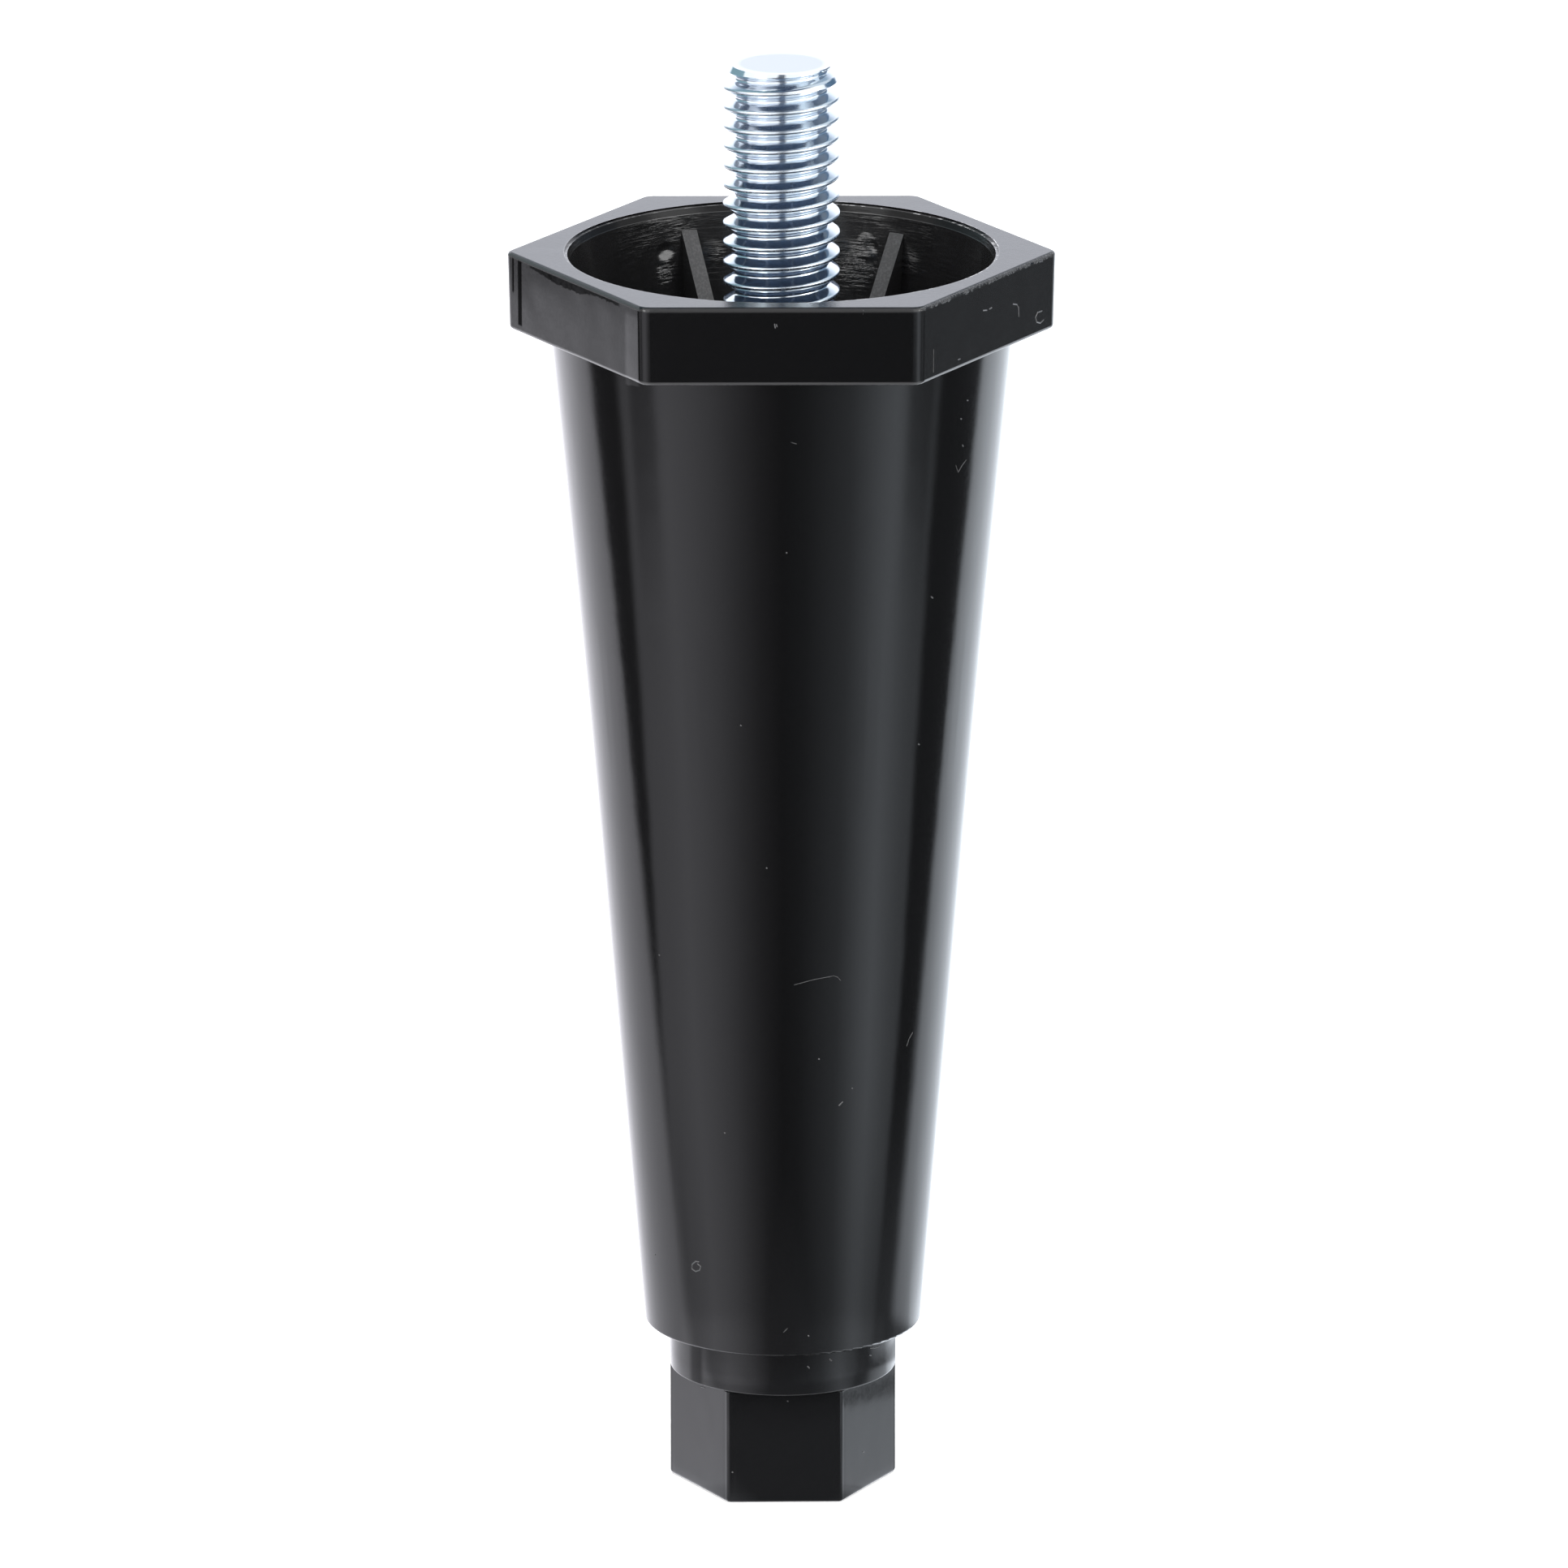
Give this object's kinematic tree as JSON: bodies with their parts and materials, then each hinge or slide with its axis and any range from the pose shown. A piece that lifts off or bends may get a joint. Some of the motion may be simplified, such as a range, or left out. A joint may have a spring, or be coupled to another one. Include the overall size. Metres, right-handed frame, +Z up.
{
  "type": "adjustable furniture leg",
  "caption": "Tapered black plastic furniture leg with a hexagonal top flange, a threaded steel mounting stud and a screw-adjustable hexagonal levelling foot.",
  "frame": {"origin": "centre of the foot's bottom face, on the floor, with the foot fully screwed in", "axes": "+Z up along the leg's axis towards the stud; +X towards a corner of the hexagonal flange; -Y towards the viewer of the picture, square to a flat of the flange"},
  "size_m": [0.0436, 0.038, 0.1177],
  "materials": {
    "leg_plastic": "glossy black moulded plastic",
    "zinc_plated_steel": "bright bluish zinc plating on rolled steel thread",
    "foot_plastic": "satin-gloss black moulded plastic"
  },
  "bodies": {
    "leg": {"leg_body": "leg_plastic", "mounting_stud": "zinc_plated_steel"},
    "foot": {"levelling_foot": "foot_plastic"}
  },
  "joints": [
    {"name": "foot_height", "type": "slide", "parent": "leg", "child": "foot", "axis": [0, 0, -1], "range_m": [0, 0.0254]}
  ]
}
